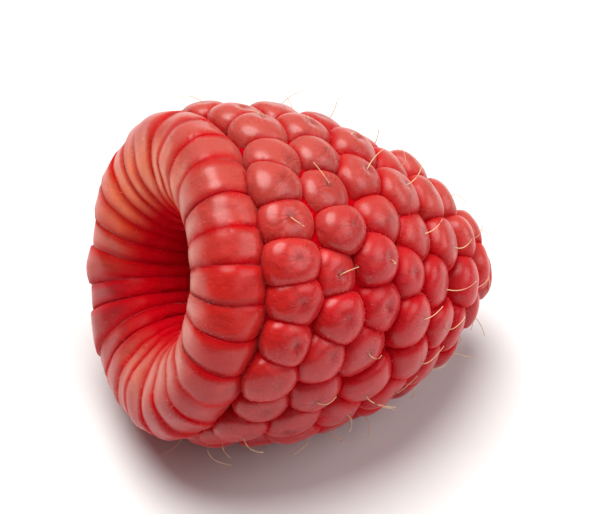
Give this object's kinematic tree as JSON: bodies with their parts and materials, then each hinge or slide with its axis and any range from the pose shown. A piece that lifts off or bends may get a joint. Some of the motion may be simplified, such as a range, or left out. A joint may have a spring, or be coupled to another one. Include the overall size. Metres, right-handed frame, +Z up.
{
  "type": "raspberry",
  "caption": "Ripe red raspberry as picked, a hollow thimble of fused drupelets lying on its side on a softly flattened underside, with its mouth open to one end.",
  "frame": {"origin": "centre of the bounding box's underside, on the surface that the berry rests on", "axes": "+Z up; +X from the mouth towards the tip, level; the berry's own axis slopes down to +X by 18 degrees, so the open mouth faces -X and a little up"},
  "size_m": [0.0246, 0.0212, 0.0209],
  "materials": {
    "raspberry_flesh": "satin, soft and slightly downy, deep red in the creases and pinkish at the edges"
  },
  "bodies": {
    "root": {"raspberry": "raspberry_flesh"}
  },
  "joints": []
}
